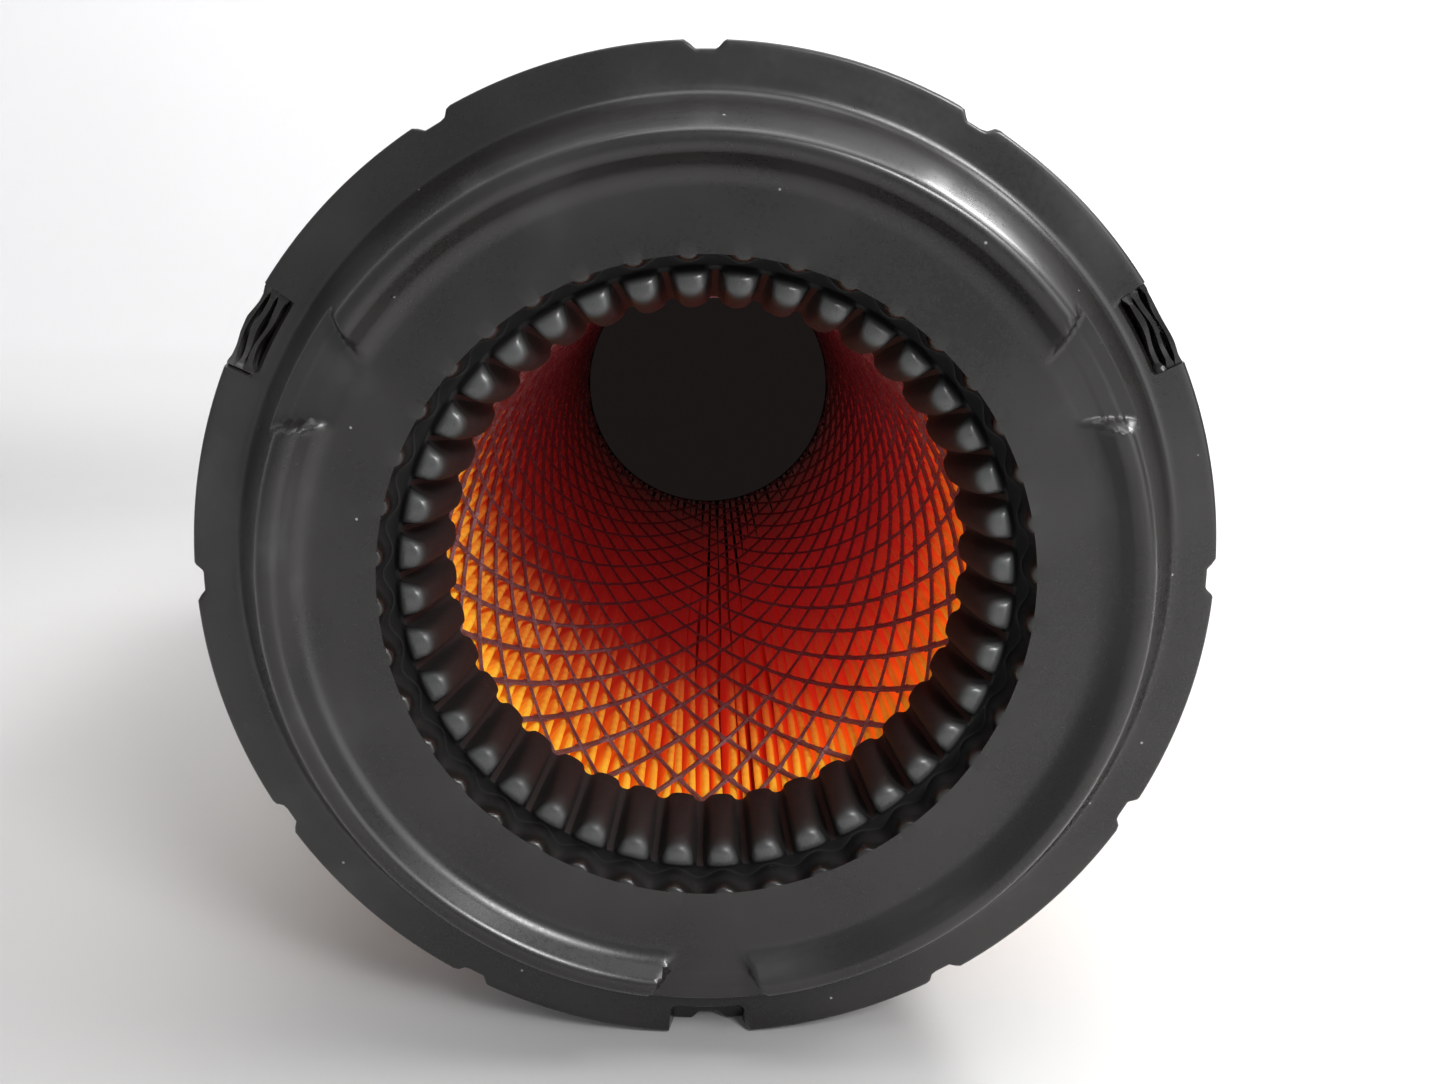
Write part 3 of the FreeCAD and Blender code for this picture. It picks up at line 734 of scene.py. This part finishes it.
def pleatSheet():
    # every pleat leans and sways a little; the centre line is then moved half a wall either way
    # along its normal to make two skins
    draw = np.random.default_rng(pleats["seed"])
    count = pleats["count"]
    step = full / count
    turnOne, radiusOne = onePleat(step)
    k = np.repeat(np.arange(count), len(turnOne))
    turn = np.tile(turnOne, count) + k * step
    radius = np.tile(radiusOne, count)
    v = np.linspace(0, 1, pleats["rows"])[:, None]
    scatter = draw.uniform(-1, 1, count)[k] * pleats["scatter"] * step
    phase = draw.uniform(0, full, count)[k]
    waves = draw.uniform(1.0, 3.5, count)[k]
    sway = pleats["sway"] * step * np.sin(waves * full * v * 0.5 + phase) * np.sin(math.pi * v)
    turn = turn[None, :] + scatter * np.sin(math.pi * np.clip(v * 6, 0, 0.5)) + sway
    radius = radius[None, :] + 0 * v
    reach = np.clip((pleats["outer"] - radius) / (pleats["outer"] - pleats["inner"]), 0, 1)
    turn = turn + pleats["lean"] * step * (0.5 + 0.5 * np.cos(turn)) * reach ** 3
    x, z = radius * np.cos(turn), radius * np.sin(turn)
    dx = np.roll(x, -1, 1) - np.roll(x, 1, 1)
    dz = np.roll(z, -1, 1) - np.roll(z, 1, 1)
    long = np.hypot(dx, dz)
    nx, nz = dz / long, -dx / long
    depth = sealEnd + pleats["endGap"] + (packEnd - sealEnd - 2 * pleats["endGap"]) * v + 0 * turn + rimFront
    half = pleats["wall"] / 2
    dirty = np.stack([x + nx * half, depth, z + nz * half], -1)
    clean = np.stack([x - nx * half, depth, z - nz * half], -1)[::-1]
    points = np.concatenate([dirty, clean])
    quads = gridFaces(points.shape[0], points.shape[1], True, True)
    return addPiece("pleatedPaper", points * mm, quads, paperSkin, ["pleated_media"], 0)


pleatSheet()

# glue: spacing beads and the bond of the pack

glue = {"clear": (0.62, 0.45, 0.20), "cloudy": (0.80, 0.66, 0.40), "cloud": 120.0, "rough": 0.32}
beads = {
    "count": 4, "radius": 110.05, "high": 0.5, "wide": 2.3, "columns": 960, "around": 10,
    "thin": 0.72, "tipSwell": 0.2, "uneven": 0.08, "sag": 0.35, "stray": 0.18, "fatSeed": 30, "straySeed": 40,
}


def hotMelt():
    # amber glue, clear and cloudy in patches
    recipe = Recipe("hotMelt")
    cloud = recipe.noise(recipe.place(), glue["cloud"], 3.0)
    colour = recipe.blend(recipe.band(cloud, 0.4, 0.6), glue["clear"], glue["cloudy"])
    return recipe.finish({
        "Base Color": colour, "Roughness": glue["rough"], "Normal": recipe.bump(cloud, 0.0004, 0.3)})


glueSkin = hotMelt()


def spacingBead(number):
    # ring of oval section that fattens over each pleat tip, sags between two tips and strays a
    # little along the pack
    node = "pleat_bead_%d" % number
    low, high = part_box(node)
    middle = (low.y + high.y) / 2 / mm
    turn = (np.arange(beads["columns"]) / beads["columns"] * full)[None, :]
    around = (np.arange(beads["around"]) / beads["around"] * full)[:, None]
    tip = 0.5 + 0.5 * np.cos(turn * pleats["count"])
    lumps = beads["uneven"] * wander(turn, 0.0, beads["fatSeed"] + number)
    fat = beads["thin"] + beads["tipSwell"] * tip + lumps
    radius = beads["radius"] - beads["sag"] * (1 - tip) + beads["high"] * fat * np.cos(around)
    stray = beads["stray"] * wander(turn, 0.0, beads["straySeed"] + number)
    depth = middle + beads["wide"] * fat * np.sin(around) + stray
    points = onBore(radius, turn, depth)
    quads = gridFaces(beads["around"], beads["columns"], True, True)
    return addPiece("spacingBead%d" % number, points * mm, quads[:, ::-1], glueSkin, [node], 0)


for beadNumber in range(1, beads["count"] + 1):
    spacingBead(beadNumber)
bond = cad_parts["pleat_bond"]
bond.data.materials.clear()
bond.data.materials.append(glueSkin)

# torn webs left in the two upper key pockets

webs = {
    "deg": (30.0, 150.0), "radii": (112.6, 114.7, 116.7), "depths": (2.9, 3.3, 3.1), "sections": 48,
    "around": 8, "thin": (0.95, 0.85, 0.80), "tall": (2.7, 2.9, 2.8), "overlap": 1.04, "outermost": 117.7,
    "seed": 60,
}


def signedRoot(value):
    # square root of the size, with the sign kept; it squares up a round section
    return np.sign(value) * np.sqrt(np.abs(value))


def tornWeb(key, number):
    # ragged strand across a pocket: squarish section whose size and place follow summed sines
    centre = math.radians(webs["deg"][key])
    radius, deep = webs["radii"][number], webs["depths"][number]
    seed = webs["seed"] + key * 10 + number
    half = keys["wide"] / 2 / keys["middle"] * webs["overlap"]
    t = np.linspace(-1, 1, webs["sections"])[None, :]
    around = ((np.arange(webs["around"]) + 0.5) / webs["around"] * full)[:, None]
    ragged = wander(t * 1.1 + around * 0.0, around * 0.03, seed, 6, 1, 7)
    thin = webs["thin"][number] * (0.9 + 0.35 * ragged + 0.9 * ease(0.75, 1.0, np.abs(t)))
    tall = webs["tall"][number] * (0.9 + 0.15 * wander(t * 1.3, around * 0.02, seed + 3, 6, 1, 7))
    place = radius + 0.45 * wander(t * 1.2, 0.0 * around, seed + 5, 5, 1, 6) + 0.35 * (1 - t * t)
    turn = centre + half * t + 0 * around
    out = np.clip(place + thin * signedRoot(np.cos(around)), 0, webs["outermost"])
    points = onBore(out, turn, deep + tall * signedRoot(np.sin(around)) + rimFront)
    quads = gridFaces(webs["around"], webs["sections"], True, False)
    near = np.array([[0, 1, 2, 3], [0, 3, 4, 7], [4, 5, 6, 7]]) * webs["sections"]
    far = (near + webs["sections"] - 1)[:, ::-1]
    quads = np.concatenate([quads[:, ::-1], near, far])
    name = "tornWeb%d%d" % (key + 1, number + 1)
    return addPiece(name, points * mm, quads, foamTorn, [], 60)


for keyNumber in range(len(webs["deg"])):
    for webNumber in range(len(webs["radii"])):
        tornWeb(keyNumber, webNumber)

# studio

# the studio is in metres, and the eye's place in rim radii
studio = {
    "floor": (0.52, 0.515, 0.51), "wall": (0.90, 0.90, 0.905), "patch": (0.5, 0.5, 0.5), "paleBy": 0.12,
    "sink": 0.0003, "front": -2.5, "back": 0.75, "curve": 0.10, "top": 2.4, "side": 3.0,
    "air": (0.95, 0.97, 1.0, 1.0), "airStrength": 0.45,
}
eyeSet = {
    "lens": 32.4, "sensor": 36.0, "clip": 0.01, "side": 0.004, "back": 2.464, "height": 0.650,
    "pitchDeg": 13.1, "yawDeg": -0.6,
}
lamps = {
    "keyLight": {"place": (0.75, -1.2, 1.0), "target": (0, 0, 0), "size": (0.45, 0.45), "power": 18},
    "rightLight": {"place": (1.1, -1.2, 0.35), "target": (0, 0, 0), "size": (0.9, 1.2), "power": 6},
    "tubeLight": {"place": (0.85, 0.20, 0.90), "target": (0, 0.10, 0), "size": (1.3, 0.24), "power": 11},
    "rearLight": {"place": (0.55, 0.62, 0.62), "target": (0.05, 0, 0.08), "size": (0.40, 0.22), "power": 4.5},
    "topLight": {"place": (0.3, 0.30, 1.7), "target": (0, 0.45, 0), "size": (1.8, 1.2), "power": 18},
}


def stagePaint():
    # pale grey floor that turns near-white up the wall
    recipe = Recipe("stagePaint")
    where = recipe.place()
    up = recipe.node("ShaderNodeSeparateXYZ", {}, {0: where}).out(2)
    cloud = recipe.noise(where, 3.0, 2.0)
    pale = recipe.band(up, cadBox[0].z, cadBox[0].z + studio["paleBy"])
    shade = recipe.blend(pale, studio["floor"], studio["wall"])
    shade = recipe.blend(recipe.band(cloud, 0.3, 0.7) * 0.06, shade, studio["patch"])
    return recipe.finish({"Base Color": shade, "Roughness": 0.6})


def stageSheet(name, points, material):
    # open grid of quads that belongs to the stage
    mesh = bpy.data.meshes.new(name)
    rows, columns = points.shape[:2]
    mesh.from_pydata(points.reshape(-1, 3).tolist(), [], gridFaces(rows, columns, False, False).tolist())
    mesh.shade_smooth()
    mesh.materials.append(material)
    piece = bpy.data.objects.new(name, mesh)
    bpy.context.scene.collection.objects.link(piece)
    return piece


def backdrop():
    # floor that curves up into a wall: a quarter round joins the two
    bend = np.linspace(0, math.pi / 2, 12)
    curve = studio["curve"]
    y = np.concatenate([[studio["front"]], studio["back"] - curve + curve * np.sin(bend), [studio["back"]]])
    z = np.concatenate([[0.0], curve * (1 - np.cos(bend)), [studio["top"]]]) + cadBox[0].z - studio["sink"]
    x = np.linspace(-studio["side"], studio["side"], 5)
    points = np.stack(np.broadcast_arrays(x[None, :], y[:, None], z[:, None]), -1)
    return stageSheet("backdrop", points, stagePaint())


backdrop()


def areaLight(name, place, target, size, power):
    # white rectangle turned to face its target
    lamp = bpy.data.lights.new(name, "AREA")
    lamp.shape = "RECTANGLE"
    lamp.size, lamp.size_y = size
    lamp.energy = power
    rig = bpy.data.objects.new(name, lamp)
    bpy.context.scene.collection.objects.link(rig)
    rig.location = place
    way = np.array(target) - np.array(place)
    rig.rotation_euler = (math.atan2(math.hypot(way[0], way[1]), -way[2]), 0, math.atan2(-way[0], way[1]))
    return rig


for lampName, lampSet in lamps.items():
    areaLight(lampName, **lampSet)
print("lit by", len(lamps), "lamps")


def studioAir():
    # even pale light from all round
    world = bpy.data.worlds.new("studioAir")
    bpy.context.scene.world = world
    world.use_nodes = True
    world.node_tree.nodes["Background"].inputs[0].default_value = studio["air"]
    world.node_tree.nodes["Background"].inputs[1].default_value = studio["airStrength"]
    bpy.context.scene.view_settings.view_transform = "Standard"


def placeEye():
    # in front of the rim and above the axis, by shares of the rim's radius, tipped down
    eye = bpy.data.cameras.new("eye")
    eye.sensor_width = eyeSet["sensor"]
    eye.lens = eyeSet["lens"]
    eye.clip_start = eyeSet["clip"]
    camera = bpy.data.objects.new("eye", eye)
    bpy.context.scene.collection.objects.link(camera)
    reach = rimRadius * mm
    back = rimFront * mm - eyeSet["back"] * reach
    camera.location = (eyeSet["side"] * reach, back, eyeSet["height"] * reach)
    camera.rotation_euler = (math.radians(90 - eyeSet["pitchDeg"]), 0, math.radians(eyeSet["yawDeg"]))
    bpy.context.scene.camera = camera


studioAir()
placeEye()
print("air and eye placed")

print("size cad", [round(v, 4) for v in cadBox[0]], [round(v, 4) for v in cadBox[1]])
